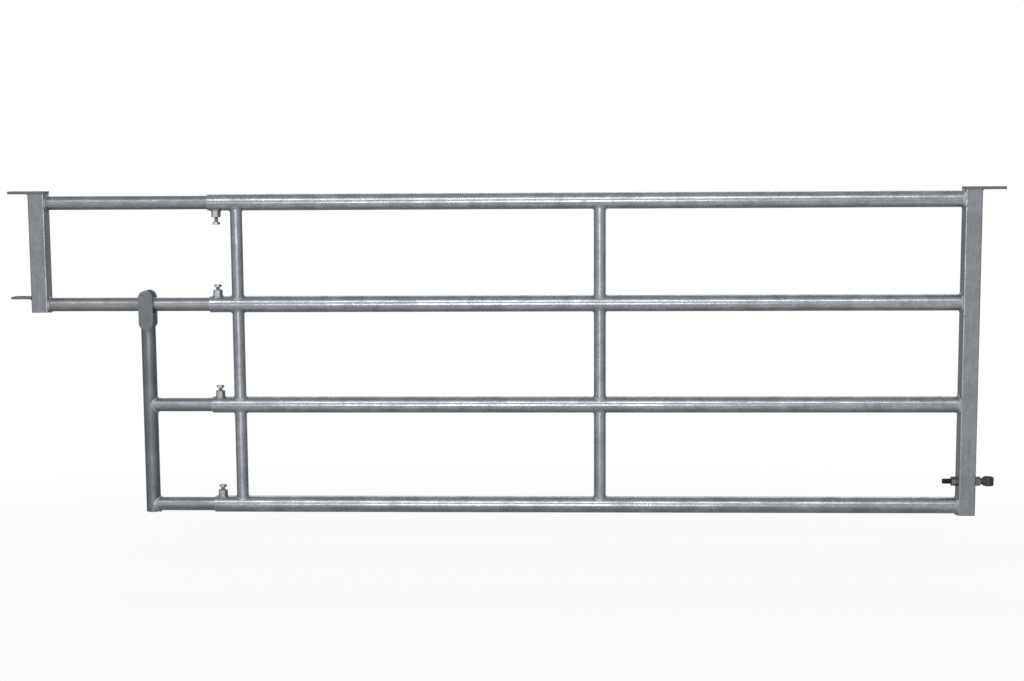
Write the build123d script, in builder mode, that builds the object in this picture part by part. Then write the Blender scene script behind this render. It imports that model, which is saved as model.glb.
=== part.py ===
"""Telescopic livestock gate of hot-dip galvanised steel tube.

A welded main frame carries four outer rails on a square heel upright, tied by two rows of braces.
An upper extension slides in rails 1 and 2, and a lower extension slides in rails 3 and 4.
A yoke at the top of the lower extension straddles the sliding tube of rail 2.
Four clamp screws lock the sliding tubes in the outer rails.

Millimetres. +Z is up, +X points from the sliding end to the hinge end, and -Y is the front.
The origin is on the hinge axis, on the underside of the hinge eye, which rests on the post's lower pin.
"""

import os

from build123d import *

# Rails, numbered from the top down
RAIL_COUNT = 4
RAIL_PITCH = 300.0
OUTER_OD = 48.3
OUTER_WALL = 2.9
OUTER_LENGTH = 2197.0
SLIDE_PLAY = 2.5
INNER_OD = OUTER_OD - 2 * OUTER_WALL - SLIDE_PLAY
INNER_WALL = 2.5

# Square uprights
BOX_SIDE = 50.0
BOX_WALL = 3.0
BOX_CORNER = 5.0
TOP_MARGIN = 27.0
HEEL_BOTTOM_MARGIN = 27.0
LATCH_BOTTOM_MARGIN = 22.0

# Hinge side: the lug's pin hole and the adjustable eye share one vertical axis, which is the Z axis
HINGE_REACH = 41.0
PIN_HOLE_D = 20.0
LUG_TIP = 28.0
LUG_THICKNESS = 8.0
LUG_CORNER = 12.0
EYE_HEIGHT_OVER_RAIL = 72.0
EYE_OD = 32.0
EYE_DEPTH = 26.0
EYE_EDGE = 2.0
STUD_D = 16.0
STUD_STUB = 25.0
STUD_HOLE_CLEARANCE = 1.0
STUD_CHAMFER = 1.5
EYE_NUT_FLATS = 24.0
EYE_NUT_HEIGHT = 14.8
WASHER_OD = 30.0
WASHER_THICKNESS = 3.0
NUT_THREAD_GAP = 0.05

# Braces between the outer rails
BRACE_OD = 35.0
BRACE_WALL = 2.5
BRACE_A_FROM_MOUTH = 82.0
BRACE_B_FROM_MOUTH = 1149.0

# Upper extension
UPPER_GAP = 479.0
UPPER_INNER_LENGTH = 1400.0
LATCH_REACH = 34.0
LOWER_LUG_THICKNESS = 6.0
LOWER_LUG_OVER_RAIL = 21.0

# Lower extension, whose drop upright is enough wider than the sliding tubes for its yoke to clear them
YOKE_PLAY = 2.4
DROP_OD = INNER_OD + YOKE_PLAY
DROP_WALL = 3.0
DROP_FROM_MOUTH = 188.0
DROP_BOTTOM_MARGIN = 22.0
DROP_TOP_CLEARANCE = 5.0
LOWER_INNER_LENGTH = 900.0
YOKE_WIDTH = DROP_OD
YOKE_THICKNESS = 8.0
YOKE_ABOVE_RAIL = 42.0
YOKE_BELOW_RAIL = 74.0
YOKE_SEAT_GAP = 0.1

# Clamp screws, M12, one to each rail
SCREW_FROM_MOUTH = 23.0
SCREW_D = 12.0
SCREW_HEAD_FLATS = 19.0
SCREW_HEAD_HEIGHT = 7.5
SCREW_TIP_CHAMFER = 1.5
SCREW_TIP_GAP = 0.3
SCREW_THREAD_GAP = 0.1
SCREW_STANDOFFS = (14.0, 8.0, 8.0, 8.0)
SCREW_SIDES = (-1, 1, 1, 1)
BOSS_FLATS = 24.0
BOSS_HEIGHT = 19.0
HEX_CHAMFER_SLOPE = 0.577
HEX_FACE_SHARE = 0.95  # diameter of the turned end face over the width across flats

# Heights, counted from the underside of the hinge eye
EYE_Z = EYE_DEPTH / 2
LOWEST_RAIL_Z = EYE_Z - EYE_HEIGHT_OVER_RAIL
RAIL_Z = [LOWEST_RAIL_Z + i * RAIL_PITCH for i in reversed(range(RAIL_COUNT))]
HEEL_TOP = RAIL_Z[0] + TOP_MARGIN
HEEL_BOTTOM = RAIL_Z[-1] - HEEL_BOTTOM_MARGIN
LATCH_BOTTOM = RAIL_Z[1] - LATCH_BOTTOM_MARGIN
LOWER_LUG_Z = RAIL_Z[1] + LOWER_LUG_OVER_RAIL - LOWER_LUG_THICKNESS / 2
DROP_TOP = RAIL_Z[1] - INNER_OD / 2 - DROP_TOP_CLEARANCE
DROP_BOTTOM = RAIL_Z[-1] - DROP_BOTTOM_MARGIN

# Places along X, counted from the hinge axis back to the latch end
HEEL_OUT_X = -HINGE_REACH
HEEL_IN_X = HEEL_OUT_X - BOX_SIDE
MOUTH_X = HEEL_IN_X - OUTER_LENGTH
BRACE_XS = (MOUTH_X + BRACE_A_FROM_MOUTH, MOUTH_X + BRACE_B_FROM_MOUTH)
SCREW_X = MOUTH_X + SCREW_FROM_MOUTH
LATCH_IN_X = MOUTH_X - UPPER_GAP
LATCH_OUT_X = LATCH_IN_X - BOX_SIDE
LATCH_PIN_X = LATCH_OUT_X - LATCH_REACH
DROP_X = MOUTH_X - DROP_FROM_MOUTH
YOKE_INNER_Y = DROP_OD / 2 + YOKE_SEAT_GAP
YOKE_MID_Z = RAIL_Z[1] + (YOKE_ABOVE_RAIL - YOKE_BELOW_RAIL) / 2


def ring_sketch(outer_diameter, wall):
    """Section of a round tube, on the plane of the sketch that calls it."""
    Circle(outer_diameter / 2)
    Circle(outer_diameter / 2 - wall, mode=Mode.SUBTRACT)


def box_upright(centre_x, top_z, bottom_z):
    """Square hollow section standing on end, open at both ends as galvanising needs."""
    with BuildPart() as upright:
        with BuildSketch(Plane.XY.offset(bottom_z)):
            with Locations((centre_x, 0)):
                RectangleRounded(BOX_SIDE, BOX_SIDE, BOX_CORNER)
                RectangleRounded(
                    BOX_SIDE - 2 * BOX_WALL, BOX_SIDE - 2 * BOX_WALL, BOX_CORNER - BOX_WALL, mode=Mode.SUBTRACT
                )
        extrude(amount=top_z - bottom_z)
    return upright


def lug_plate(flush_x, pin_x, bottom_z, thickness):
    """Flat lug from a flush end to a rounded tip past its pin hole."""
    outward = 1 if pin_x > flush_x else -1
    tip_x = pin_x + outward * LUG_TIP
    with BuildPart() as lug:
        with BuildSketch(Plane.XY.offset(bottom_z)) as outline:
            with Locations(((flush_x + tip_x) / 2, 0)):
                Rectangle(abs(tip_x - flush_x), BOX_SIDE)
            tip_corners = outline.vertices().group_by(Axis.X)[-1 if outward > 0 else 0]
            fillet(tip_corners, LUG_CORNER)
            with Locations((pin_x, 0)):
                Circle(PIN_HOLE_D / 2, mode=Mode.SUBTRACT)
        extrude(amount=thickness)
    return lug


def hex_prism(plane, flats, height, both_ends=False):
    """Hexagon along a plane's normal, its corners turned off by a cone at the far end, or at both ends."""
    corner = flats / 3**0.5
    face = flats * HEX_FACE_SHARE / 2
    drop = (corner - face) * HEX_CHAMFER_SLOPE
    near_end = [(face, 0), (corner, -drop)] if both_ends else [(corner, 0)]
    far_end = [(corner, drop - height), (face, -height)]
    with BuildPart() as prism:
        with BuildSketch(plane):
            RegularPolygon(flats / 2, 6, major_radius=False)
        extrude(amount=height)
        with BuildSketch(Plane(plane.origin, x_dir=plane.x_dir, z_dir=plane.y_dir)):
            with BuildLine():
                Polyline((0, 0), *near_end, *far_end, (0, -height), close=True)
            make_face()
        revolve(axis=Axis(plane.origin, plane.z_dir), mode=Mode.INTERSECT)
    return prism


def write(name, piece):
    """Labels a finished piece and writes it as its own STEP file."""
    piece.part.label = name
    export_step(piece.part, f"parts/{name}.step")


os.makedirs("parts", exist_ok=True)

# Heel upright, with the stud's holes through both of its walls
with BuildPart() as heel_upright:
    add(box_upright((HEEL_OUT_X + HEEL_IN_X) / 2, HEEL_TOP, HEEL_BOTTOM).part)
    with BuildSketch(Plane.YZ.offset(HEEL_IN_X)):
        with Locations((0, EYE_Z)):
            Circle(STUD_D / 2 + STUD_HOLE_CLEARANCE)
    extrude(amount=BOX_SIDE, mode=Mode.SUBTRACT)
write("heel_upright", heel_upright)

# Hinge lug, which also caps the heel upright
hinge_lug = lug_plate(HEEL_IN_X, 0.0, HEEL_TOP, LUG_THICKNESS)
write("hinge_lug", hinge_lug)

# Outer rails, each with a screw hole through the wall on the clamp's side
for number, (rail_z, side) in enumerate(zip(RAIL_Z, SCREW_SIDES), start=1):
    with BuildPart() as outer_rail:
        with BuildSketch(Plane.YZ.offset(MOUTH_X)):
            with Locations((0, rail_z)):
                ring_sketch(OUTER_OD, OUTER_WALL)
        extrude(amount=OUTER_LENGTH)
        with BuildSketch(Plane.XY.offset(rail_z)):
            with Locations((SCREW_X, 0)):
                Circle(SCREW_D / 2 + SCREW_THREAD_GAP)
        extrude(amount=side * OUTER_OD, mode=Mode.SUBTRACT)
    write(f"outer_rail_{number}", outer_rail)

# Braces, coped to the rails above and below them
for row, brace_x in zip("ab", BRACE_XS):
    for number, (upper_z, lower_z) in enumerate(zip(RAIL_Z, RAIL_Z[1:]), start=1):
        with BuildPart() as brace:
            with BuildSketch(Plane.XY.offset(lower_z)):
                with Locations((brace_x, 0)):
                    ring_sketch(BRACE_OD, BRACE_WALL)
            extrude(amount=upper_z - lower_z)
            with BuildSketch(Plane.YZ.offset(brace_x)):
                with Locations((0, upper_z), (0, lower_z)):
                    Circle(OUTER_OD / 2)
            extrude(amount=BRACE_OD, both=True, mode=Mode.SUBTRACT)
        write(f"brace_{row}_{number}", brace)

# Clamp bosses, saddled on the rails, and their screws
for number, (rail_z, side, standoff) in enumerate(zip(RAIL_Z, SCREW_SIDES, SCREW_STANDOFFS), start=1):
    axis_plane = Plane((SCREW_X, 0, rail_z), x_dir=(1, 0, 0), z_dir=(0, 0, side))
    boss_reach = OUTER_OD / 2 + BOSS_HEIGHT
    with BuildPart() as clamp_boss:
        add(hex_prism(axis_plane, BOSS_FLATS, boss_reach).part)
        with BuildSketch(Plane.YZ.offset(SCREW_X)):
            with Locations((0, rail_z)):
                Circle(OUTER_OD / 2)
        extrude(amount=BOSS_FLATS, both=True, mode=Mode.SUBTRACT)
        with BuildSketch(axis_plane):
            Circle(SCREW_D / 2 + SCREW_THREAD_GAP)
        extrude(amount=boss_reach, mode=Mode.SUBTRACT)
    write(f"clamp_boss_{number}", clamp_boss)

    tip_reach = INNER_OD / 2 + SCREW_TIP_GAP
    head_reach = boss_reach + standoff
    with BuildPart() as clamp_screw:
        with BuildSketch(axis_plane.offset(tip_reach)):
            Circle(SCREW_D / 2)
        extrude(amount=head_reach - tip_reach + SCREW_HEAD_HEIGHT / 2)
        tip_edge = clamp_screw.edges().sort_by(Axis.Z)[0 if side > 0 else -1]
        chamfer(tip_edge, SCREW_TIP_CHAMFER)
        add(hex_prism(axis_plane.offset(head_reach), SCREW_HEAD_FLATS, SCREW_HEAD_HEIGHT).part)
    write(f"clamp_screw_{number}", clamp_screw)

# Adjustable hinge eye: a round eye forged on a stud that passes through the heel upright
stud_end_x = HEEL_IN_X - WASHER_THICKNESS - EYE_NUT_HEIGHT - STUD_STUB
with BuildPart() as hinge_eye_bolt:
    with BuildSketch(Plane.YZ.offset(stud_end_x)):
        with Locations((0, EYE_Z)):
            Circle(STUD_D / 2)
    extrude(amount=-stud_end_x)
    chamfer(hinge_eye_bolt.edges().sort_by(Axis.X)[0], STUD_CHAMFER)
    with BuildSketch(Plane.XY.offset(EYE_Z - EYE_DEPTH / 2)):
        Circle(EYE_OD / 2)
    extrude(amount=EYE_DEPTH)
    rims = hinge_eye_bolt.edges().filter_by(GeomType.CIRCLE).filter_by(lambda e: abs(e.radius - EYE_OD / 2) < EYE_EDGE)
    fillet(rims, EYE_EDGE)
    with BuildSketch(Plane.XY.offset(EYE_Z - EYE_DEPTH / 2)):
        Circle(PIN_HOLE_D / 2)
    extrude(amount=EYE_DEPTH, mode=Mode.SUBTRACT)
write("hinge_eye_bolt", hinge_eye_bolt)

# A washer and a nut on each side of the heel upright hold the eye at its set reach
for side_name, face_x, outward in (("outer", HEEL_OUT_X, 1), ("inner", HEEL_IN_X, -1)):
    face_plane = Plane((face_x, 0, EYE_Z), x_dir=(0, 0, 1), z_dir=(outward, 0, 0))
    with BuildPart() as washer:
        with BuildSketch(face_plane):
            Circle(WASHER_OD / 2)
            Circle(STUD_D / 2 + STUD_HOLE_CLEARANCE, mode=Mode.SUBTRACT)
        extrude(amount=WASHER_THICKNESS)
    write(f"eye_washer_{side_name}", washer)

    nut_plane = face_plane.offset(WASHER_THICKNESS)
    with BuildPart() as nut:
        add(hex_prism(nut_plane, EYE_NUT_FLATS, EYE_NUT_HEIGHT, both_ends=True).part)
        with BuildSketch(nut_plane):
            Circle(STUD_D / 2 + NUT_THREAD_GAP)
        extrude(amount=EYE_NUT_HEIGHT, mode=Mode.SUBTRACT)
    write(f"eye_nut_{side_name}", nut)

# Upper extension: latch upright, its two lugs and the sliding tubes of rails 1 and 2
latch_upright = box_upright((LATCH_IN_X + LATCH_OUT_X) / 2, HEEL_TOP, LATCH_BOTTOM)
write("latch_upright", latch_upright)

latch_lug_top = lug_plate(LATCH_IN_X, LATCH_PIN_X, HEEL_TOP, LUG_THICKNESS)
write("latch_lug_top", latch_lug_top)

latch_lug_lower = lug_plate(LATCH_OUT_X, LATCH_PIN_X, LOWER_LUG_Z, LOWER_LUG_THICKNESS)
write("latch_lug_lower", latch_lug_lower)

for number, rail_z in enumerate(RAIL_Z[:2], start=1):
    with BuildPart() as inner_rail:
        with BuildSketch(Plane.YZ.offset(LATCH_IN_X)):
            with Locations((0, rail_z)):
                ring_sketch(INNER_OD, INNER_WALL)
        extrude(amount=UPPER_INNER_LENGTH)
    write(f"inner_rail_{number}", inner_rail)

# Lower extension: round drop upright, its yoke and the sliding tubes of rails 3 and 4
with BuildPart() as drop_upright:
    with BuildSketch(Plane.XY.offset(DROP_BOTTOM)):
        with Locations((DROP_X, 0)):
            ring_sketch(DROP_OD, DROP_WALL)
    extrude(amount=DROP_TOP - DROP_BOTTOM)
write("drop_upright", drop_upright)

for number, rail_z in enumerate(RAIL_Z[2:], start=3):
    with BuildPart() as inner_rail:
        with BuildSketch(Plane.YZ.offset(DROP_X)):
            with Locations((0, rail_z)):
                ring_sketch(INNER_OD, INNER_WALL)
        extrude(amount=LOWER_INNER_LENGTH)
        with BuildSketch(Plane.XY.offset(rail_z)):
            with Locations((DROP_X, 0)):
                Circle(DROP_OD / 2)
        extrude(amount=INNER_OD, both=True, mode=Mode.SUBTRACT)
    write(f"inner_rail_{number}", inner_rail)

for side_name, front in (("front", 1), ("back", -1)):
    with BuildPart() as yoke_plate:
        with BuildSketch(Plane.XZ.offset(front * YOKE_INNER_Y)):
            with Locations((DROP_X, YOKE_MID_Z)):
                SlotOverall(YOKE_ABOVE_RAIL + YOKE_BELOW_RAIL, YOKE_WIDTH, rotation=90)
        extrude(amount=front * YOKE_THICKNESS)
    write(f"yoke_plate_{side_name}", yoke_plate)
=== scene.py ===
"""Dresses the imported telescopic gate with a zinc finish, welds, threads, a forged hinge eye and a studio.

Metres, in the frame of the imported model: +Z up, +X from the latch end to the hinge end, -Y the front.
"""

import math
from collections import namedtuple
from functools import partial

import bpy
from bpy.props import FloatProperty, FloatVectorProperty, IntProperty, PointerProperty
from bpy.types import Operator, Panel, PropertyGroup
from mathutils import Matrix, Vector, noise


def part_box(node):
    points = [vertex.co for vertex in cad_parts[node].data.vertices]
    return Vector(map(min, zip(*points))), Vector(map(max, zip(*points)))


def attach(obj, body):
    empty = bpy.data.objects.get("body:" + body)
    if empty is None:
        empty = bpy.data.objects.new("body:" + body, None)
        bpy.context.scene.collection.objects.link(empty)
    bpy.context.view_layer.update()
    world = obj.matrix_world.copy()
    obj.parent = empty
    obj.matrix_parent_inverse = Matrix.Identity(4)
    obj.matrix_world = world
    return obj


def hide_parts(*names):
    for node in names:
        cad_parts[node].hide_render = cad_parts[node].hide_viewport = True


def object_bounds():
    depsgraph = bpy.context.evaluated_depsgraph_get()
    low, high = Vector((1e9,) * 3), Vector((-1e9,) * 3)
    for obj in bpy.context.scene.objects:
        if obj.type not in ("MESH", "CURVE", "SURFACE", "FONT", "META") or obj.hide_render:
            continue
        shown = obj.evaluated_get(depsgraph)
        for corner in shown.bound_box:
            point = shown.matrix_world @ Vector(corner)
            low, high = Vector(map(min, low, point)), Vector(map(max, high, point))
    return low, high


bl_info = {
    "name": "Telescopic Livestock Gate",
    "version": (1, 0, 0),
    "blender": (4, 5, 0),
    "location": "3D View > Sidebar > Gate",
    "description": "Builds the finish and small parts of a galvanised telescopic gate on its solids",
    "category": "Object",
}

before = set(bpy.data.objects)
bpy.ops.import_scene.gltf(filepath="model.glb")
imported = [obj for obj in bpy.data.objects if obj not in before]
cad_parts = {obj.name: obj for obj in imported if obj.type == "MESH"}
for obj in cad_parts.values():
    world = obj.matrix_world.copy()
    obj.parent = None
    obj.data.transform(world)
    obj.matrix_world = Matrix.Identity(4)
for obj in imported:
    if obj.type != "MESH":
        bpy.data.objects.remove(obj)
CAD_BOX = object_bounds()
CAD_MIDDLE = (CAD_BOX[0] + CAD_BOX[1]) / 2

MM = 0.001
RAILS = (1, 2, 3, 4)
BRACE_ROWS = ("a", "b")
BRACES_IN_ROW = (1, 2, 3)


def node_centre(node):
    """Middle of a CAD node's box."""
    low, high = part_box(node)
    return (low + high) / 2


def half_width(node, axis):
    """Half of a CAD node's width along an axis."""
    low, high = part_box(node)
    return (getattr(high, axis) - getattr(low, axis)) / 2


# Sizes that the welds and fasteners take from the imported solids
RAIL_Z = {i: node_centre(f"outer_rail_{i}").z for i in RAILS}
OUTER_R = half_width("outer_rail_1", "z")
INNER_R = half_width("inner_rail_1", "z")
BRACE_R = half_width("brace_a_1", "y")
DROP_R = half_width("drop_upright", "y")
DROP_X = node_centre("drop_upright").x
HEEL_IN_X, HEEL_OUT_X = (corner.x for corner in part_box("heel_upright"))
LATCH_OUT_X, LATCH_IN_X = (corner.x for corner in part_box("latch_upright"))
BOX_HALF = half_width("heel_upright", "x")
UPRIGHT_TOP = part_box("heel_upright")[1].z
SCREW_X = node_centre("clamp_screw_1").x

BLACK_NODES = ("eye_washer_outer", "eye_washer_inner", "eye_nut_outer", "eye_nut_inner")
REPLACED_NODES = ("hinge_eye_bolt", *(f"clamp_screw_{i}" for i in RAILS))
SQUARE_NODES = ("heel_upright", "latch_upright")

# How bright, varied, rough, uneven and scraped each grade of zinc is
Grade = namedtuple("Grade", "tone contrast roughness relief scraped", defaults=[False])
GRADES = {
    "tube": Grade(tone=1.05, contrast=1.0, roughness=1.0, relief=0.5),
    "brace": Grade(tone=1.0, contrast=0.8, roughness=1.4, relief=0.5),
    "upright": Grade(tone=0.87, contrast=0.7, roughness=1.15, relief=0.35),
    "slider": Grade(tone=0.84, contrast=0.8, roughness=1.4, relief=0.4, scraped=True),
    "drop": Grade(tone=0.60, contrast=0.7, roughness=1.7, relief=0.4),
    "plate": Grade(tone=0.54, contrast=0.35, roughness=1.2, relief=0.3),
    "boss": Grade(tone=1.22, contrast=0.5, roughness=1.5, relief=0.3),
    "weld": Grade(tone=1.0, contrast=0.8, roughness=1.8, relief=0.6),
}


def grade_and_run(node):
    """Grade of a galvanised node's zinc, and the axis that its runs lie along."""
    if node in SQUARE_NODES:
        return "upright", "Z"
    if "lug" in node:
        return "plate", "X"
    if node == "drop_upright":
        return "drop", "Z"
    if node.startswith("yoke"):
        # The back yoke plate takes the brighter upright zinc as painted light: the lighter tone lifts its
        # inner face, which the front plate shades.
        return "upright" if node == "yoke_plate_back" else "plate", "Z"
    if node.startswith("inner"):
        return "slider", "X"
    if node.startswith("brace"):
        return "brace", "Z"
    if node.startswith("clamp_boss"):
        return "boss", "Z"
    return "tube", "X"


class ZincSettings(PropertyGroup):
    """Colours and pattern sizes of the hot-dip galvanised finish."""

    light: FloatVectorProperty(
        name="Light zinc", description="Colour of the brighter patches of zinc",
        default=(0.330, 0.350, 0.372), subtype="COLOR", size=3, min=0, max=1,
    )
    dark: FloatVectorProperty(
        name="Dull zinc", description="Colour of the duller patches of zinc",
        default=(0.205, 0.220, 0.236), subtype="COLOR", size=3, min=0, max=1,
    )
    spangle: FloatProperty(
        name="Spangle", description="Width of one zinc crystal",
        default=7 * MM, unit="LENGTH", min=1 * MM, max=40 * MM,
    )
    cloud: FloatProperty(
        name="Cloud", description="Width of one cloudy patch",
        default=55 * MM, unit="LENGTH", min=5 * MM, max=400 * MM,
    )
    bloom: FloatProperty(
        name="Bloom", description="Width of one pale bloom of the zinc",
        default=25 * MM, unit="LENGTH", min=2 * MM, max=200 * MM,
    )
    run: FloatProperty(
        name="Run", description="Width of one run that the zinc left as it drained",
        default=9.1667 * MM, unit="LENGTH", min=1 * MM, max=60 * MM,
    )
    run_stretch: FloatProperty(
        name="Run stretch", description="How many times longer than wide the zinc's runs are",
        default=9.0, min=1, max=40,
    )
    grain: FloatProperty(
        name="Grain", description="Width of one grain of the zinc's skin",
        default=1.6 * MM, unit="LENGTH", min=0.2 * MM, max=10 * MM,
    )
    speck: FloatProperty(
        name="Speck", description="Width of one dark speck",
        default=3.2 * MM, unit="LENGTH", min=0.5 * MM, max=20 * MM,
    )
    scrape: FloatProperty(
        name="Scrape", description="Width of one scrape on the sliding tubes",
        default=1.7 * MM, unit="LENGTH", min=0.2 * MM, max=10 * MM,
    )
    scrape_stretch: FloatProperty(
        name="Scrape stretch", description="How many times longer than wide the scrapes are",
        default=60.0, min=1, max=400,
    )
    roughness: FloatProperty(
        name="Roughness", description="Mean roughness of the rails' zinc",
        default=0.275, min=0.05, max=1, subtype="FACTOR",
    )
    wave: FloatProperty(
        name="Wave", description="Width of one low wave in the zinc's skin",
        default=17 * MM, unit="LENGTH", min=2 * MM, max=200 * MM,
    )
    unevenness: FloatProperty(
        name="Unevenness", description="Height that the zinc's skin varies by",
        default=0.35 * MM, unit="LENGTH", min=0, max=3 * MM,
    )
    edge: FloatProperty(
        name="Edge rounding", description="Width of the rounding on the solids' edges",
        default=0.7 * MM, unit="LENGTH", min=0, max=4 * MM,
    )
    cut_end: FloatProperty(
        name="Cut end rounding", description="Width of the rounding on the square uprights' cut ends",
        default=1.4 * MM, unit="LENGTH", min=0, max=4 * MM,
    )


class WeldSettings(PropertyGroup):
    """Sizes of the weld beads."""

    leg: FloatProperty(
        name="Leg", description="Leg of a fillet weld",
        default=4.6 * MM, unit="LENGTH", min=1 * MM, max=12 * MM,
    )
    bulge: FloatProperty(
        name="Bulge", description="How far a bead stands out over the straight line between its toes",
        default=0.9 * MM, unit="LENGTH", min=0, max=4 * MM,
    )
    ripple: FloatProperty(
        name="Ripple", description="Length of one ripple along a bead",
        default=2.6 * MM, unit="LENGTH", min=0.5 * MM, max=10 * MM,
    )
    step: FloatProperty(
        name="Step", description="Spacing of a bead's cross sections",
        default=0.65 * MM, unit="LENGTH", min=0.2 * MM, max=5 * MM,
    )
    seed: IntProperty(name="Seed", description="Seed of the beads' unevenness", default=11, min=0)


class FastenerSettings(PropertyGroup):
    """Sizes and colours of the clamp screws and of the hinge eye."""

    screw_pitch: FloatProperty(
        name="Screw pitch", description="Thread pitch of a clamp screw",
        default=1.75 * MM, unit="LENGTH", min=0.5 * MM, max=4 * MM,
    )
    screw_diameter: FloatProperty(
        name="Screw diameter", description="Outside diameter of a clamp screw's thread",
        default=12 * MM, unit="LENGTH", min=4 * MM, max=30 * MM,
    )
    head_height: FloatProperty(
        name="Head height", description="Height of a clamp screw's head",
        default=7.5 * MM, unit="LENGTH", min=2 * MM, max=20 * MM,
    )
    stud_pitch: FloatProperty(
        name="Stud pitch", description="Thread pitch of the hinge eye's stud",
        default=2 * MM, unit="LENGTH", min=0.5 * MM, max=5 * MM,
    )
    stud_diameter: FloatProperty(
        name="Stud diameter", description="Outside diameter of the hinge eye's stud",
        default=16 * MM, unit="LENGTH", min=6 * MM, max=40 * MM,
    )
    bore_diameter: FloatProperty(
        name="Bore diameter", description="Diameter of the hinge eye's pin hole",
        default=20 * MM, unit="LENGTH", min=6 * MM, max=40 * MM,
    )
    plate_color: FloatVectorProperty(
        name="Zinc plate", description="Colour of the clamp screws' bright plating",
        default=(0.46, 0.46, 0.45), subtype="COLOR", size=3, min=0, max=1,
    )
    black_color: FloatVectorProperty(
        name="Black steel", description="Colour of the uncoated hinge eye",
        default=(0.055, 0.054, 0.051), subtype="COLOR", size=3, min=0, max=1,
    )
    worn_color: FloatVectorProperty(
        name="Worn steel", description="Colour of rubbed places on the black steel",
        default=(0.165, 0.158, 0.148), subtype="COLOR", size=3, min=0, max=1,
    )


class StudioSettings(PropertyGroup):
    """Camera, lamps, floor and background."""

    camera_place: FloatVectorProperty(
        name="Camera place", description="Where the camera stands",
        default=(-1.2031, -4.8464, 0.9844), subtype="TRANSLATION", unit="LENGTH", size=3,
    )
    yaw: FloatProperty(
        name="Yaw", description="Turn of the camera to its right",
        default=math.radians(-2.292), subtype="ANGLE",
    )
    pitch: FloatProperty(
        name="Pitch", description="Tilt of the camera down",
        default=math.radians(6.504), subtype="ANGLE",
    )
    roll: FloatProperty(
        name="Roll", description="Roll of the camera, anticlockwise",
        default=math.radians(-0.36), subtype="ANGLE",
    )
    lens: FloatProperty(
        name="Lens", description="Focal length on a sensor 36 mm wide", default=58.32, min=10, max=300,
    )
    floor_gap: FloatProperty(
        name="Floor gap", description="Height of the gate's lowest point over the floor",
        default=190 * MM, unit="LENGTH", min=0, max=2,
    )
    ambient: FloatProperty(
        name="Ambient", description="Level of the soft light from all round", default=0.6, min=0, max=3,
    )
    front_share: FloatProperty(
        name="Front in metal", description="Brightness of the white before the gate as its zinc mirrors it",
        default=0.85, min=0, max=1, subtype="FACTOR",
    )
    # On the floor this share is also the painted shade under and behind the gate that the zinc mirrors.
    back_share: FloatProperty(
        name="Back in metal", description="Brightness of the white behind the gate as its zinc mirrors it",
        default=0.36, min=0, max=1, subtype="FACTOR",
    )
    over_share: FloatProperty(
        name="Ceiling in metal", description="What the ceiling adds to that brightness over the gate",
        default=0.25, min=0, max=1, subtype="FACTOR",
    )
    low_power: FloatProperty(
        name="Low lamp", description="Power of the lamp low behind the camera, in watts",
        default=72, min=0,
    )
    high_power: FloatProperty(
        name="High lamp", description="Power of the wide lamp high in front of the gate, in watts",
        default=155, min=0,
    )
    back_power: FloatProperty(
        name="Back lamp", description="Power of the wide lamp high behind the gate, in watts",
        default=90, min=0,
    )


class Wire:
    """A shader socket that takes part in arithmetic; each operation on it adds one Math node."""

    def __init__(self, nodes, socket):
        self.nodes = nodes
        self.socket = socket

    def math(self, operation, *values):
        """Adds one Math node fed by the values in order."""
        return self.nodes.add("ShaderNodeMath", {"operation": operation}, dict(enumerate(values)))

    def __add__(self, other):
        return self.math("ADD", self, other)

    def __radd__(self, other):
        return self.math("ADD", other, self)

    def __sub__(self, other):
        return self.math("SUBTRACT", self, other)

    def __rsub__(self, other):
        return self.math("SUBTRACT", other, self)

    def __mul__(self, other):
        return self.math("MULTIPLY", self, other)

    def __rmul__(self, other):
        return self.math("MULTIPLY", other, self)

    def between(self, low, high):
        """0 below low, 1 above high, and a smooth step in between."""
        return self.nodes.add(
            "ShaderNodeMapRange", {"interpolation_type": "SMOOTHSTEP"},
            {"Value": self, "From Min": low, "From Max": high},
        )


class Nodes:
    """Adds nodes to one shader tree."""

    def __init__(self, tree):
        self.tree = tree
        tree.nodes.clear()

    def add(self, kind, settings=None, sockets=None, output=0):
        """Adds a node, sets its settings, then its sockets by name or number, and gives back one output."""
        node = self.tree.nodes.new(kind)
        for name, value in (settings or {}).items():
            setattr(node, name, value)
        for key, value in (sockets or {}).items():
            if isinstance(value, Wire):
                self.tree.links.new(value.socket, node.inputs[key])
            else:
                node.inputs[key].default_value = value
        return Wire(self, node.outputs[output]) if node.outputs else None

    def mix(self, factor, first, second):
        """Mixes two colours."""
        return self.add("ShaderNodeMix", {"data_type": "RGBA"}, {0: factor, 6: first, 7: second}, output=2)

    def stretched(self, place, size):
        """Coordinates in which a pattern is as large as size along X, Y and Z."""
        return self.add(
            "ShaderNodeVectorMath", {"operation": "MULTIPLY"}, {0: place, 1: tuple(1 / s for s in size)}
        )

    def noise(self, place, size, detail=2.0, roughness=0.5):
        """Value of a noise pattern of that size along X, Y and Z, about 0.5 on average."""
        return self.add(
            "ShaderNodeTexNoise", {},
            {"Vector": self.stretched(place, size), "Scale": 1.0, "Detail": detail, "Roughness": roughness},
        )

    def finish(self, shader):
        """Links the shader to the material's output."""
        self.add("ShaderNodeOutputMaterial", {}, {"Surface": shader})


def opaque(color):
    """A colour with its alpha."""
    return (*color, 1.0)


def even(width):
    """Size of a pattern that is as wide along each axis."""
    return [width] * 3


def drawn_out(width, axis, stretch):
    """Size of a pattern that is longer along one axis."""
    size = even(width)
    size["XYZ".index(axis)] *= stretch
    return size


def new_material(name):
    """A material with an empty tree, and the helper that fills it."""
    material = bpy.data.materials.new(name)
    material.use_nodes = True
    return material, Nodes(material.node_tree)


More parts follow.
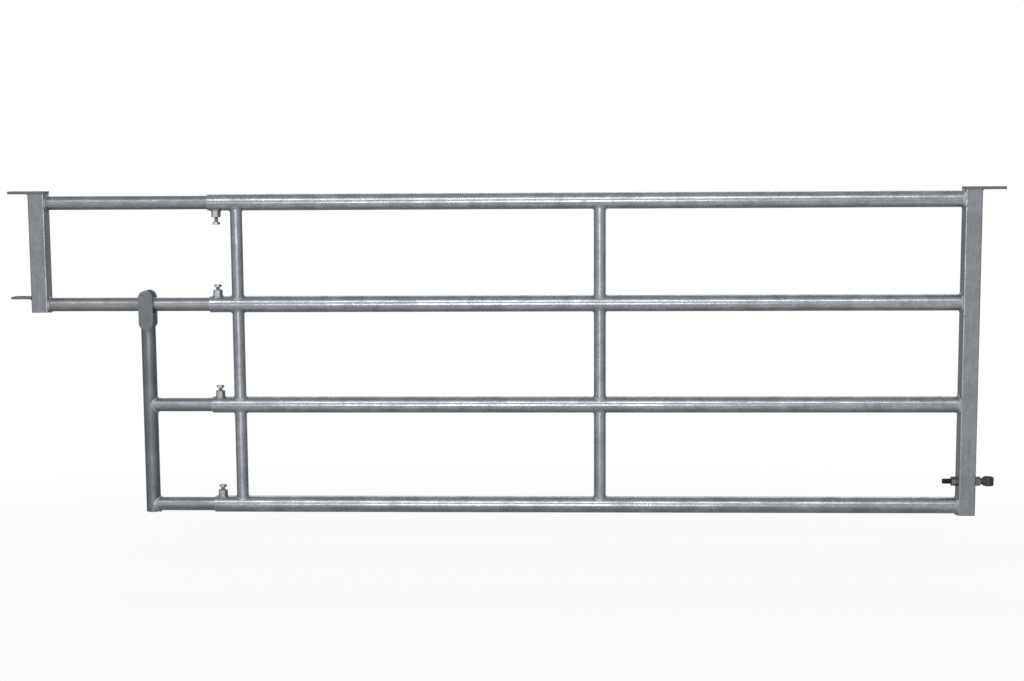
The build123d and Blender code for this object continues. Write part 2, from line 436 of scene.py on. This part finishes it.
def galvanised_steel(name, grade_name, runs_along):
    """Hot-dip galvanised steel, whose crystals, cloudy patches and runs lie along one axis."""
    zinc = bpy.context.scene.gate_zinc
    grade = GRADES[grade_name]
    middle = (Vector(zinc.light) + Vector(zinc.dark)) / 2 * grade.tone
    spread = (Vector(zinc.light) - Vector(zinc.dark)) / 2 * grade.tone * grade.contrast
    light, dark = middle + spread, middle - spread
    material, nodes = new_material(name)
    place = nodes.add("ShaderNodeTexCoord", output="Object")

    clouds = nodes.noise(place, even(zinc.cloud), detail=4.0, roughness=0.6)
    runs = nodes.noise(place, drawn_out(zinc.run, runs_along, zinc.run_stretch), detail=3.0, roughness=0.55)
    waves = nodes.noise(place, even(zinc.wave))
    crystals = nodes.add(
        "ShaderNodeTexVoronoi", {"feature": "F1"},
        {"Vector": nodes.stretched(place, even(zinc.spangle)), "Scale": 1.0}, output="Color",
    )
    crystal = nodes.add("ShaderNodeSeparateColor", {}, {"Color": crystals}, output="Red")
    grain = nodes.noise(place, even(zinc.grain), detail=3.0, roughness=0.65)
    blooms = nodes.noise(place, even(zinc.bloom), detail=5.0, roughness=0.7).between(0.56, 0.74)
    specks = nodes.noise(place, even(zinc.speck), detail=1.0).between(0.70, 0.78)

    # Weights that set how much of each pattern shows in the colour, the roughness and the skin
    tone = (clouds - 0.5) * 1.2 + (runs - 0.5) * 0.9 + (crystal - 0.5) * 0.22 + (grain - 0.5) * 0.35 + 0.5
    color = nodes.mix(tone.between(0.15, 0.85), opaque(dark), opaque(light))
    color = nodes.mix(blooms * 0.35, color, opaque(light * 1.25))
    color = nodes.mix(specks * 0.30, color, opaque(dark * 0.45))
    roughness = zinc.roughness * grade.roughness + (0.5 - tone) * 0.14
    roughness = roughness + (crystal - 0.5) * 0.03 + blooms * 0.12
    if grade.scraped:
        scrape_size = drawn_out(zinc.scrape, runs_along, zinc.scrape_stretch)
        scrapes = nodes.noise(place, scrape_size, detail=3.0, roughness=0.6).between(0.56, 0.70)
        color = nodes.mix(scrapes * 0.45, color, opaque(dark * 0.62))
        roughness = roughness - scrapes * 0.08

    relief = (grain * 0.04 + crystal * 0.03 + waves * 0.30 + runs * 0.20 + clouds * 0.5) * grade.relief
    bump = nodes.add("ShaderNodeBump", {}, {"Height": relief, "Strength": 1.0, "Distance": zinc.unevenness})
    nodes.finish(nodes.add(
        "ShaderNodeBsdfPrincipled", {},
        {"Base Color": color, "Metallic": 0.88, "Roughness": roughness, "Normal": bump},
    ))
    return material


def plated_steel(name):
    """Bright zinc plate with stains and scuffs."""
    sizes = bpy.context.scene.gate_fasteners
    material, nodes = new_material(name)
    place = nodes.add("ShaderNodeTexCoord", output="Object")
    stain = nodes.noise(place, even(5 * MM), detail=4.0, roughness=0.6)
    scuffs = nodes.noise(place, (0.7 * MM, 0.7 * MM, 4 * MM)).between(0.55, 0.75)
    clean = Vector(sizes.plate_color)
    color = nodes.mix(stain.between(0.3, 0.7), opaque(clean), opaque(clean * 0.72))
    roughness = 0.26 + scuffs * 0.2 + stain * 0.1
    bump = nodes.add(
        "ShaderNodeBump", {}, {"Height": stain + scuffs * 0.3, "Strength": 0.2, "Distance": 0.2 * MM}
    )
    nodes.finish(nodes.add(
        "ShaderNodeBsdfPrincipled", {},
        {"Base Color": color, "Metallic": 1.0, "Roughness": roughness, "Normal": bump},
    ))
    return material


def black_steel(name, wear):
    """Uncoated dark steel with scale, rubbed brighter in places."""
    sizes = bpy.context.scene.gate_fasteners
    material, nodes = new_material(name)
    place = nodes.add("ShaderNodeTexCoord", output="Object")
    scale = nodes.noise(place, even(7 * MM), detail=5.0, roughness=0.65)
    pits = nodes.noise(place, even(1.2 * MM)).between(0.6, 0.75)
    rubbed = (scale + wear).between(0.55, 0.95)
    dark = Vector(sizes.black_color)
    color = nodes.mix(rubbed, opaque(dark), opaque(sizes.worn_color))
    color = nodes.mix(pits * 0.5, color, opaque(dark * 0.5))
    roughness = 0.5 - rubbed * 0.14 + pits * 0.2
    bump = nodes.add(
        "ShaderNodeBump", {}, {"Height": scale - pits * 0.4, "Strength": 0.5, "Distance": 0.5 * MM}
    )
    nodes.finish(nodes.add(
        "ShaderNodeBsdfPrincipled", {},
        {"Base Color": color, "Metallic": 0.8, "Roughness": roughness, "Normal": bump},
    ))
    return material


def material_named(name, maker, *values):
    """The material of that name, made the first time it is asked for."""
    return bpy.data.materials.get(name) or maker(name, *values)


def zinc(grade_name, runs_along):
    """Galvanised steel of one grade whose runs lie along X or Z."""
    name = f"galvanised_{grade_name}_{runs_along.lower()}"
    return material_named(name, galvanised_steel, grade_name, runs_along)


def grid_faces(ring_count, ring_size, closed_path):
    """Quads between successive rings of points."""
    faces = []
    last = ring_count if closed_path else ring_count - 1
    for i in range(last):
        a, b = i * ring_size, (i + 1) % ring_count * ring_size
        for j in range(ring_size):
            k = (j + 1) % ring_size
            faces.append((a + j, a + k, b + k, b + j))
    return faces


def end_caps(ring_count, ring_size, swap=False):
    """One face over the first ring of points and one over the last, turned round by swap."""
    first, last = range(ring_size), range((ring_count - 1) * ring_size, ring_count * ring_size)
    return [tuple(first), tuple(reversed(last))] if swap else [tuple(reversed(first)), tuple(last)]


def add_piece(name, body, parts, material, sharp_degrees):
    """Joins lists of points and faces into one mesh object that rides on a body."""
    points, faces = [], []
    for part_points, part_faces in parts:
        start = len(points)
        points += part_points
        faces += [tuple(start + i for i in face) for face in part_faces]
    mesh = bpy.data.meshes.new(name)
    mesh.from_pydata(points, [], faces)
    mesh.validate()
    mesh.materials.append(material)
    piece = bpy.data.objects.new(name, mesh)
    bpy.context.scene.collection.objects.link(piece)
    mesh.shade_smooth()
    mesh.set_sharp_from_angle(angle=math.radians(sharp_degrees))
    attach(piece, body)
    return piece


# A bead's section has its root and this many points from toe to toe
BEAD_POINTS = 8
# How far a bead's leg wanders, and how high its ripples and lumps are beside its bulge
LEG_DRIFT, RIPPLE_HEIGHT, LUMP_HEIGHT = 0.22, 0.22, 0.25
LUMPS_PER_METRE = 260
# How far the ripples bow forward in the middle of the bead, in ripples
RIPPLE_BOW = 0.45
TOE_SINK = 0.15 * MM


def lay_bead(name, body, joint, length, leg_share=1.0, closed=True, swap=False):
    """Runs a rippled fillet bead along a joint.

    joint(share, leg) gives the root and the two toes at a share of the path, for a bead with that leg.
    An open bead tapers at both ends, and swap turns its faces round where the joint runs the other way.
    """
    weld = bpy.context.scene.gate_weld
    count = max(12, round(length / weld.step))
    seed = weld.seed + sum(map(ord, name))
    points = []
    for i in range(count):
        share = i / count if closed else i / (count - 1)
        turn = share * math.tau
        drift = noise.noise(Vector((math.cos(turn) * 2.1, math.sin(turn) * 2.1, seed * 0.37)))
        taper = 1.0 if closed else min(1.0, 0.25 + math.sin(math.pi * share) * 4.0)
        leg = weld.leg * leg_share * (1 + LEG_DRIFT * drift) * taper
        root, toe_a, toe_b = joint(share, leg)
        out = ((toe_a + toe_b) / 2 - root).normalized()
        points.append(root)
        for k in range(BEAD_POINTS):
            t = k / (BEAD_POINTS - 1)
            arch = 4 * t * (1 - t)
            phase = share * length / weld.ripple + RIPPLE_BOW * arch
            ripple = (phase % 1.0) ** 0.7 * RIPPLE_HEIGHT
            lumps = LUMP_HEIGHT * noise.noise(Vector((share * length * LUMPS_PER_METRE, t * 2, seed)))
            height = weld.bulge * leg_share * arch * (0.75 + ripple + lumps)
            points.append(toe_a.lerp(toe_b, t) + out * (height - TOE_SINK * (1 - arch)))
    faces = grid_faces(count, BEAD_POINTS + 1, closed)
    if not closed:
        faces += end_caps(count, BEAD_POINTS + 1, swap=True)
    if swap:
        faces = [tuple(reversed(face)) for face in faces]
    return add_piece(name, body, [(points, faces)], zinc("weld", "Z"), sharp_degrees=70)


BOX_CORNER = 5 * MM


def on_box(y, z, face_x, outward):
    """Nearest point of a square upright's skin to a point just off one of its faces."""
    flat = BOX_HALF - BOX_CORNER
    if abs(y) <= flat:
        return Vector((face_x, y, z))
    middle = Vector((face_x - outward * BOX_CORNER, math.copysign(flat, y), z))
    return middle + (Vector((face_x, y, z)) - middle).normalized() * BOX_CORNER


def tube_on_box(rail_z, radius, face_x, outward):
    """Joint of a tube's end on the face of a square upright."""
    def joint(share, leg):
        across, up = math.cos(share * math.tau), math.sin(share * math.tau)
        root = on_box(radius * across, rail_z + radius * up, face_x, outward)
        toe_box = on_box((radius + leg) * across, rail_z + (radius + leg) * up, face_x, outward)
        toe_tube = Vector((face_x + outward * leg, radius * across, rail_z + radius * up))
        return root, toe_tube, toe_box
    return joint


def hexagon_reach(turn, half_flats):
    """Distance from a hexagon's middle to its outline."""
    return half_flats / math.cos(turn % (math.pi / 3) - math.pi / 6)


def saddle_on_rail(centre_x, reach, rail_z, upward):
    """Joint of an upright stub on top of, or under, a round rail; reach(turn) is the stub's outline."""
    def on_rail(turn, distance):
        y = distance * math.sin(turn)
        rise = math.sqrt(max(OUTER_R**2 - y**2, 0.0))
        return Vector((centre_x + distance * math.cos(turn), y, rail_z + upward * rise))

    def joint(share, leg):
        turn = share * math.tau
        root = on_rail(turn, reach(turn))
        toe_rail = on_rail(turn, min(reach(turn) + leg, OUTER_R * 0.995 / max(abs(math.sin(turn)), 1e-6)))
        return root, root + Vector((0, 0, upward * leg)), toe_rail
    return joint


def tube_on_round(rail_z):
    """Joint of a lower sliding tube on the round drop upright."""
    def joint(share, leg):
        across, up = math.cos(share * math.tau), math.sin(share * math.tau)
        turn = math.asin(INNER_R * across / DROP_R)
        toe_turn = turn + leg * across / DROP_R
        z = rail_z + INNER_R * up
        root = Vector((DROP_X + DROP_R * math.cos(turn), DROP_R * math.sin(turn), z))
        toe_drop = Vector((DROP_X + DROP_R * math.cos(toe_turn), DROP_R * math.sin(toe_turn), z + leg * up))
        return root, root + Vector((leg, 0, 0)), toe_drop
    return joint


def straight_fillet(start, end, arm_a, arm_b):
    """Joint along a straight corner whose two legs lie along the two arms."""
    def joint(share, leg):
        root = start.lerp(end, share)
        return root, root + arm_a * leg, root + arm_b * leg
    return joint


class GATE_OT_finish(Operator):
    """Gives every galvanised and black solid its finish and rounds its edges"""

    bl_idname = "gate.finish"
    bl_label = "Finish the solids"

    def execute(self, context):
        settings = context.scene.gate_zinc
        black = material_named("black_steel_nuts", black_steel, 0.45)
        for name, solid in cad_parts.items():
            if name in REPLACED_NODES:
                continue
            solid.data.materials.clear()
            solid.data.materials.append(black if name in BLACK_NODES else zinc(*grade_and_run(name)))
            self.round_edges(solid, settings.cut_end if name in SQUARE_NODES else settings.edge)
        return {"FINISHED"}

    @staticmethod
    def round_edges(solid, width):
        """Joins loose corners and flat neighbours, rounds the sharp edges and shades by the large faces."""
        join = solid.modifiers.new("join", "WELD")
        join.merge_threshold = 0.01 * MM
        flat = solid.modifiers.new("flat", "DECIMATE")
        flat.decimate_type = "DISSOLVE"
        flat.angle_limit = math.radians(0.5)
        rounding = solid.modifiers.new("rounding", "BEVEL")
        rounding.width = width
        rounding.segments = 2
        rounding.limit_method = "ANGLE"
        rounding.angle_limit = math.radians(40)
        shading = solid.modifiers.new("shading", "WEIGHTED_NORMAL")
        shading.mode = "FACE_AREA"
        shading.weight = 50


class GATE_OT_rail_welds(Operator):
    """Welds the outer rails to the heel upright and the sliding tubes to their uprights"""

    bl_idname = "gate.rail_welds"
    bl_label = "Rail welds"

    def execute(self, context):
        for i in RAILS:
            lay_bead(
                f"weld_heel_{i}", "main_frame", tube_on_box(RAIL_Z[i], OUTER_R, HEEL_IN_X, -1),
                math.tau * OUTER_R, leg_share=1.25,
            )
        for i in (1, 2):
            lay_bead(
                f"weld_latch_{i}", "upper_extension", tube_on_box(RAIL_Z[i], INNER_R, LATCH_IN_X, 1),
                math.tau * INNER_R, swap=True,
            )
        for i in (3, 4):
            lay_bead(
                f"weld_drop_{i}", "lower_extension", tube_on_round(RAIL_Z[i]), math.tau * INNER_R, swap=True
            )
        return {"FINISHED"}


class GATE_OT_brace_welds(Operator):
    """Welds both ends of every brace to the rails"""

    bl_idname = "gate.brace_welds"
    bl_label = "Brace welds"

    def execute(self, context):
        for row in BRACE_ROWS:
            for i in BRACES_IN_ROW:
                brace_x = node_centre(f"brace_{row}_{i}").x
                for end, rail, upward in (("top", i, -1), ("foot", i + 1, 1)):
                    lay_bead(
                        f"weld_brace_{row}_{i}_{end}", "main_frame",
                        saddle_on_rail(brace_x, lambda turn: BRACE_R, RAIL_Z[rail], upward),
                        math.tau * BRACE_R, leg_share=0.7, swap=upward < 0,
                    )
        return {"FINISHED"}


class GATE_OT_boss_welds(Operator):
    """Welds the clamp bosses to the rails"""

    bl_idname = "gate.boss_welds"
    bl_label = "Boss welds"

    def execute(self, context):
        for i in RAILS:
            low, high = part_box(f"clamp_boss_{i}")
            half_flats = (high.y - low.y) / 2
            upward = 1 if (low.z + high.z) / 2 > RAIL_Z[i] else -1
            joint = saddle_on_rail(SCREW_X, partial(hexagon_reach, half_flats=half_flats), RAIL_Z[i], upward)
            lay_bead(
                f"weld_boss_{i}", "main_frame", joint, math.tau * half_flats, leg_share=0.62, swap=upward < 0
            )
        return {"FINISHED"}


class GATE_OT_plate_welds(Operator):
    """Welds the lugs to the square uprights and the yoke plates to the drop upright"""

    bl_idname = "gate.plate_welds"
    bl_label = "Plate welds"

    # Clear ends of the beads on a lug and beside a yoke plate, and the groove between plate and upright
    lug_clear, foot_clear, top_clear = 5.5 * MM, 12 * MM, 4 * MM
    groove = 6 * MM

    def execute(self, context):
        self.weld_lugs()
        self.weld_yoke()
        return {"FINISHED"}

    def weld_lugs(self):
        """One bead under each top lug, and one over and one under the lower lug."""
        reach = BOX_HALF - self.lug_clear
        lower_lug_low, lower_lug_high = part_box("latch_lug_lower")
        up, down = Vector((0, 0, 1)), Vector((0, 0, -1))
        corners = (
            ("weld_hinge_lug", "main_frame", HEEL_OUT_X, 1, UPRIGHT_TOP, down),
            ("weld_latch_lug", "upper_extension", LATCH_OUT_X, -1, UPRIGHT_TOP, down),
            ("weld_lower_lug_over", "upper_extension", LATCH_OUT_X, -1, lower_lug_high.z, up),
            ("weld_lower_lug_under", "upper_extension", LATCH_OUT_X, -1, lower_lug_low.z, down),
        )
        for name, body, face_x, outward, z, arm in corners:
            joint = straight_fillet(
                Vector((face_x, -reach, z)), Vector((face_x, reach, z)), Vector((outward, 0, 0)), arm
            )
            lay_bead(name, body, joint, 2 * reach, closed=False, swap=(outward > 0) == (arm is up))

    def weld_yoke(self):
        """A bead down each side of both plates, in the groove between plate and round upright."""
        plate_y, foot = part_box("yoke_plate_back")[0].y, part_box("yoke_plate_back")[0].z + self.foot_clear
        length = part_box("drop_upright")[1].z - self.top_clear - foot
        for side, x_sign in (("left", -1), ("right", 1)):
            for face, y_sign in (("front", -1), ("back", 1)):
                def joint(share, leg):
                    z = foot + share * length
                    x = self.groove + 1.7 * leg
                    return (
                        Vector((DROP_X + x_sign * self.groove, y_sign * plate_y, z)),
                        Vector((DROP_X + x_sign * x, y_sign * plate_y, z)),
                        Vector((DROP_X + x_sign * x, y_sign * math.sqrt(DROP_R**2 - x**2), z)),
                    )
                lay_bead(
                    f"weld_yoke_{side}_{face}", "lower_extension", joint, length,
                    closed=False, swap=x_sign * y_sign > 0,
                )


# Points round a thread and round the eye's neck, and round a screw's head
RING = 36
HEAD_RING = 72
# Rings along one pitch of a thread, depth of a thread beside its pitch, and the cone on its tip
RINGS_PER_PITCH = 6
THREAD_DEPTH = 0.61
TIP_CHAMFER = 1.5 * MM
# Slope of the cone that turns off a hexagon's corners, and where it meets the head beside the flats
HEAD_SLOPE = 0.577
HEAD_FACE = 0.95


def threaded_rod(radius, pitch, start, end, axis, across, up, origin):
    """A screw thread as one skin: its radius follows a helix, and a cone takes it down at the far end."""
    depth = THREAD_DEPTH * pitch
    count = max(8, round((end - start) / pitch * RINGS_PER_PITCH))
    points = []
    for i in range(count + 1):
        along = start + (end - start) * i / count
        for j in range(RING):
            turn = math.tau * j / RING
            phase = (along / pitch - j / RING) % 1.0
            crest = min(1.0, max(0.0, 1.35 * abs(2 * phase - 1) - 0.12))
            limit = radius - max(0.0, TIP_CHAMFER - (end - along))
            r = min(radius - depth + depth * crest, limit)
            points.append(origin + axis * along + (across * math.cos(turn) + up * math.sin(turn)) * r)
    return points, grid_faces(count + 1, RING, False) + end_caps(count + 1, RING)


def hex_head(flats, height, axis, across, up, origin):
    """A forged hexagon head: washer face under it, corners turned off by a cone, a shallow dish on top."""
    half = flats / 2
    face = HEAD_FACE * half

    def profile(reach):
        """Radius and height of each ring where the hexagon's outline is at reach from the axis."""
        cone = height - (reach - face) * HEAD_SLOPE
        return (
            (0.92 * half, 0.0), (0.94 * half, 0.4 * MM), (reach - 0.25 * MM, 0.4 * MM), (reach, 0.7 * MM),
            (reach, cone - 0.25 * MM), (reach - 0.2 * MM, cone), (face, height),
            (0.72 * half, height), (0.62 * half, height - 0.45 * MM), (0.30 * half, height - 0.5 * MM),
        )

    turns = [math.tau * j / HEAD_RING for j in range(HEAD_RING)]
    profiles = [profile(hexagon_reach(turn, half)) for turn in turns]
    points = []
    for ring in zip(*profiles):
        for turn, (r, along) in zip(turns, ring):
            points.append(origin + axis * along + (across * math.cos(turn) + up * math.sin(turn)) * r)
    rings = len(profiles[0])
    return points, grid_faces(rings, HEAD_RING, False) + end_caps(rings, HEAD_RING)


class GATE_OT_clamp_screws(Operator):
    """Builds the four clamp screws with their threads and forged heads"""

    bl_idname = "gate.clamp_screws"
    bl_label = "Clamp screws"

    def execute(self, context):
        sizes = context.scene.gate_fasteners
        plate = material_named("bright_zinc_plate", plated_steel)
        for i in RAILS:
            node = f"clamp_screw_{i}"
            low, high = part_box(node)
            side = 1 if (low.z + high.z) / 2 > RAIL_Z[i] else -1
            axis = Vector((0, 0, side))
            across, up = Vector((1, 0, 0)), Vector((0, side, 0))
            head_end = high.z if side > 0 else low.z
            tip_end = low.z if side > 0 else high.z
            head = hex_head(
                high.y - low.y, sizes.head_height, axis, across, up,
                Vector((SCREW_X, 0, head_end - side * sizes.head_height)),
            )
            shank_length = abs(head_end - tip_end) - sizes.head_height + 0.5 * MM
            shank = threaded_rod(
                sizes.screw_diameter / 2, sizes.screw_pitch, 0.0, shank_length, -axis, across, -up,
                Vector((SCREW_X, 0, tip_end + side * shank_length)),
            )
            piece = add_piece(f"screw_{i}", node, [head, shank], plate, sharp_degrees=28)
            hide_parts(node)
        return {"FINISHED"}


class GATE_OT_hinge_eye(Operator):
    """Builds the forged hinge eye on its threaded stud"""

    bl_idname = "gate.hinge_eye"
    bl_label = "Hinge eye"

    # Neck between the eye and the stud, how far the stud runs into it, and the eye's rounded rims
    neck_length, overlap = 11 * MM, 0.5 * MM
    outer_rim, bore_rim = 3.6 * MM, 0.8 * MM

    def execute(self, context):
        sizes = context.scene.gate_fasteners
        low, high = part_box("hinge_eye_bolt")
        centre = Vector((0, 0, (low.z + high.z) / 2))
        eye_radius, half_depth = high.x, (high.z - low.z) / 2
        stud_radius, bore = sizes.stud_diameter / 2, sizes.bore_diameter / 2
        neck_start = -(eye_radius + self.neck_length)
        parts = [
            self.eye_ring(eye_radius, half_depth, bore, centre),
            self.neck(stud_radius, eye_radius, half_depth, bore, neck_start, centre),
            threaded_rod(
                stud_radius, sizes.stud_pitch, -neck_start - self.overlap, -low.x,
                Vector((-1, 0, 0)), Vector((0, 1, 0)), Vector((0, 0, -1)), centre,
            ),
        ]
        steel = material_named("black_steel_eye", black_steel, 0.0)
        piece = add_piece("hinge_eye", "main_frame", parts, steel, sharp_degrees=35)
        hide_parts("hinge_eye_bolt")
        return {"FINISHED"}

    def eye_ring(self, radius, half_depth, bore, centre):
        """Section of the eye turned about the pin's axis: rounded rims outside, small ones at the bore."""
        outer_r, bore_r = radius - self.outer_rim, bore + self.bore_rim
        outer_z, bore_z = half_depth - self.outer_rim, half_depth - self.bore_rim
        section = []
        for middle_r, middle_z, rim, first in (
            (outer_r, outer_z, self.outer_rim, 0), (bore_r, bore_z, self.bore_rim, 90),
            (bore_r, -bore_z, self.bore_rim, 180), (outer_r, -outer_z, self.outer_rim, 270),
        ):
            for k in range(6):
                turn = math.radians(first + 90 * k / 5)
                section.append((middle_r + rim * math.cos(turn), middle_z + rim * math.sin(turn)))
        count = 64
        points = []
        for j in range(count):
            turn = math.tau * j / count
            for r, z in section:
                points.append(centre + Vector((r * math.cos(turn), r * math.sin(turn), z)))
        return points, grid_faces(count, len(section), True)

    @staticmethod
    def neck(stud_radius, eye_radius, half_depth, bore, start, centre):
        """Forged transition from the round stud to the flanks of the eye."""
        stop = -(bore + 1.2 * MM)
        widest = min(eye_radius * 0.80, math.sqrt(eye_radius**2 - bore**2))
        points = []
        steps = 12
        for i in range(steps + 1):
            share = i / steps
            x = start + (stop - start) * share
            swell = share * share * (3 - 2 * share)
            half_y = stud_radius + (widest - stud_radius) * swell
            half_z = stud_radius + (half_depth * 0.86 - stud_radius) * swell
            power = 2 + 1.6 * swell
            for j in range(RING):
                turn = math.tau * j / RING
                c, s = math.cos(turn), math.sin(turn)
                shape = (abs(c) ** power + abs(s) ** power) ** (-1 / power)
                points.append(centre + Vector((x, -half_y * shape * c, half_z * shape * s)))
        return points, grid_faces(steps + 1, RING, False) + end_caps(steps + 1, RING)


WHITE, BLACK = (1.0, 1.0, 1.0, 1.0), (0.0, 0.0, 0.0, 1.0)
FLOOR_GREY = (0.84, 0.84, 0.84, 1.0)
FLOOR_HALF = 30.0
# Widths of the oval over which the floor fades from a pale grey under the gate to white
FLOOR_FADE = (2.9, 1.5, 100.0)
# Each lamp's setting for its power, its width and height, and its place with X from the camera
LAMPS = {
    "low_lamp": ("low_power", (2.4, 0.8), (-0.5, -6.0, 0.35)),
    "high_lamp": ("high_power", (6.6, 1.2), (-0.7, -5.5, 4.75)),
    "back_lamp": ("back_power", (6.0, 2.0), (0.0, 5.5, 4.0)),
}


class GATE_OT_studio(Operator):
    """Sets the camera, the soft lamps, the pale floor and the white background"""

    bl_idname = "gate.studio"
    bl_label = "Studio"

    def execute(self, context):
        studio = context.scene.gate_studio
        context.scene.view_settings.view_transform = "Standard"
        self.set_camera(context.scene, studio)
        camera_side = Vector((studio.camera_place[0], 0, 0))
        for name, (power, size, place) in LAMPS.items():
            self.add_lamp(name, getattr(studio, power), size, Vector(place) + camera_side)
        self.light_world(context.scene, studio)
        self.add_floor(studio)
        return {"FINISHED"}

    @staticmethod
    def set_camera(scene, studio):
        """Camera that looks at the gate as the photograph does."""
        yaw, pitch, roll = studio.yaw, studio.pitch, studio.roll
        ahead = Vector((math.sin(yaw) * math.cos(pitch), math.cos(yaw) * math.cos(pitch), -math.sin(pitch)))
        level = Vector((math.cos(yaw), -math.sin(yaw), 0))
        top = level.cross(ahead)
        right = level * math.cos(roll) + top * math.sin(roll)
        up = top * math.cos(roll) - level * math.sin(roll)
        data = bpy.data.cameras.new("camera")
        data.lens, data.sensor_width = studio.lens, 36.0
        camera = bpy.data.objects.new("camera", data)
        turn = Matrix((right, up, -ahead)).transposed()
        camera.matrix_world = Matrix.Translation(studio.camera_place) @ turn.to_4x4()
        scene.collection.objects.link(camera)
        scene.camera = camera

    @staticmethod
    def add_lamp(name, power, size, place):
        """A rectangular soft lamp at a place, turned to the gate's middle."""
        data = bpy.data.lights.new(name, "AREA")
        data.shape = "RECTANGLE"
        data.size, data.size_y = size
        data.energy = power
        lamp = bpy.data.objects.new(name, data)
        lamp.location = place
        lamp.rotation_mode = "QUATERNION"
        lamp.rotation_quaternion = (CAD_MIDDLE - place).to_track_quat("-Z", "Y")
        bpy.context.scene.collection.objects.link(lamp)

    @staticmethod
    def seen_share(nodes, studio, front, over):
        """How white the studio is: whole for the camera's rays, a share of it for what metal mirrors."""
        camera = nodes.add("ShaderNodeLightPath", output="Is Camera Ray")
        glossy = nodes.add("ShaderNodeLightPath", output="Is Glossy Ray")
        transmitted = nodes.add("ShaderNodeLightPath", output="Is Transmission Ray")
        mirrored = front * (studio.front_share - studio.back_share) + studio.back_share + over
        return camera, glossy * mirrored + transmitted

    def light_world(self, scene, studio):
        """White where the camera looks past the gate, and a plain soft light from all round."""
        world = bpy.data.worlds.new("studio")
        world.use_nodes = True
        scene.world = world
        nodes = Nodes(world.node_tree)
        direction = nodes.add("ShaderNodeTexCoord", output="Generated")
        right, back, up = (
            nodes.add("ShaderNodeSeparateXYZ", {}, {"Vector": direction}, output=axis) for axis in "XYZ"
        )
        front = (0 - back - up * 0.5 - right * 0.40).between(-0.25, 0.6)
        camera, mirrored = self.seen_share(nodes, studio, front, up.between(0.3, 0.9) * studio.over_share)
        around = nodes.add("ShaderNodeBackground", {}, {"Color": WHITE, "Strength": studio.ambient})
        white = nodes.add("ShaderNodeBackground", {}, {"Color": WHITE, "Strength": 1.0})
        black = nodes.add("ShaderNodeBackground", {}, {"Color": BLACK, "Strength": 0.0})
        glossy = nodes.add("ShaderNodeLightPath", output="Is Glossy Ray")
        seen = nodes.add("ShaderNodeMixShader", {}, {0: glossy, 1: around, 2: black})
        mixed = nodes.add("ShaderNodeMixShader", {}, {0: camera + mirrored, 1: seen, 2: white})
        nodes.add("ShaderNodeOutputWorld", {}, {"Surface": mixed})

    def add_floor(self, studio):
        """A pale floor under the gate that keeps its shadow and fades into the white."""
        material, nodes = new_material("pale_floor")
        place = nodes.add("ShaderNodeTexCoord", output="Object")
        back = nodes.add("ShaderNodeSeparateXYZ", {}, {"Vector": place}, output="Y")
        from_middle = nodes.add("ShaderNodeVectorMath", {"operation": "SUBTRACT"}, {0: place, 1: CAD_MIDDLE})
        away = nodes.add(
            "ShaderNodeVectorMath", {"operation": "LENGTH"}, {0: nodes.stretched(from_middle, FLOOR_FADE)},
            output="Value",
        )
        # As the zinc mirrors the floor, its white is a painted shade: it dims under and behind the gate,
        # which darkens the tubes' lower edges.
        camera, mirrored = self.seen_share(nodes, studio, (0 - back).between(-0.1, 0.8), 0.0)
        fade = away.between(0.5, 1.4) * 0.14 + 0.86
        matt = nodes.add("ShaderNodeBsdfDiffuse", {}, {"Color": FLOOR_GREY})
        glow = nodes.add("ShaderNodeEmission", {}, {"Color": WHITE, "Strength": 1.0})
        dark = nodes.add("ShaderNodeEmission", {}, {"Color": BLACK, "Strength": 0.0})
        glossy = nodes.add("ShaderNodeLightPath", output="Is Glossy Ray")
        lit = nodes.add("ShaderNodeMixShader", {}, {0: glossy, 1: matt, 2: dark})
        nodes.finish(nodes.add("ShaderNodeMixShader", {}, {0: camera * fade + mirrored, 1: lit, 2: glow}))
        centre = Vector((CAD_MIDDLE.x, CAD_MIDDLE.y, CAD_BOX[0].z - studio.floor_gap))
        signs = ((-1, -1), (1, -1), (1, 1), (-1, 1))
        mesh = bpy.data.meshes.new("floor")
        mesh.from_pydata(
            [centre + Vector((sx, sy, 0)) * FLOOR_HALF for sx, sy in signs], [], [(0, 1, 2, 3)]
        )
        mesh.materials.append(material)
        floor = bpy.data.objects.new("floor", mesh)
        bpy.context.scene.collection.objects.link(floor)


STEPS = (
    GATE_OT_studio,
    GATE_OT_finish,
    GATE_OT_rail_welds,
    GATE_OT_brace_welds,
    GATE_OT_boss_welds,
    GATE_OT_plate_welds,
    GATE_OT_clamp_screws,
    GATE_OT_hinge_eye,
)


class GATE_PT_panel(Panel):
    """Lists the steps that dress the gate."""

    bl_label = "Telescopic gate"
    bl_idname = "GATE_PT_panel"
    bl_space_type = "VIEW_3D"
    bl_region_type = "UI"
    bl_category = "Gate"

    def draw(self, context):
        layout = self.layout
        for step in STEPS:
            layout.operator(step.bl_idname, text=step.bl_label)
        for settings in ("gate_zinc", "gate_weld", "gate_fasteners", "gate_studio"):
            group = getattr(context.scene, settings)
            box = layout.box()
            for name in group.__annotations__:
                box.prop(group, name)


SETTINGS = {
    "gate_zinc": ZincSettings,
    "gate_weld": WeldSettings,
    "gate_fasteners": FastenerSettings,
    "gate_studio": StudioSettings,
}


def register():
    """Registers the classes and hangs their settings on the scene."""
    for item in (*SETTINGS.values(), *STEPS, GATE_PT_panel):
        bpy.utils.register_class(item)
    for name, group in SETTINGS.items():
        setattr(bpy.types.Scene, name, PointerProperty(type=group))


def unregister():
    """Takes the settings and the classes away again."""
    for name in SETTINGS:
        delattr(bpy.types.Scene, name)
    for item in reversed((*SETTINGS.values(), *STEPS, GATE_PT_panel)):
        bpy.utils.unregister_class(item)


def main():
    """Runs every step in order."""
    register()
    for step in STEPS:
        group, name = step.bl_idname.split(".")
        getattr(getattr(bpy.ops, group), name)()


if __name__ == "__main__":
    main()
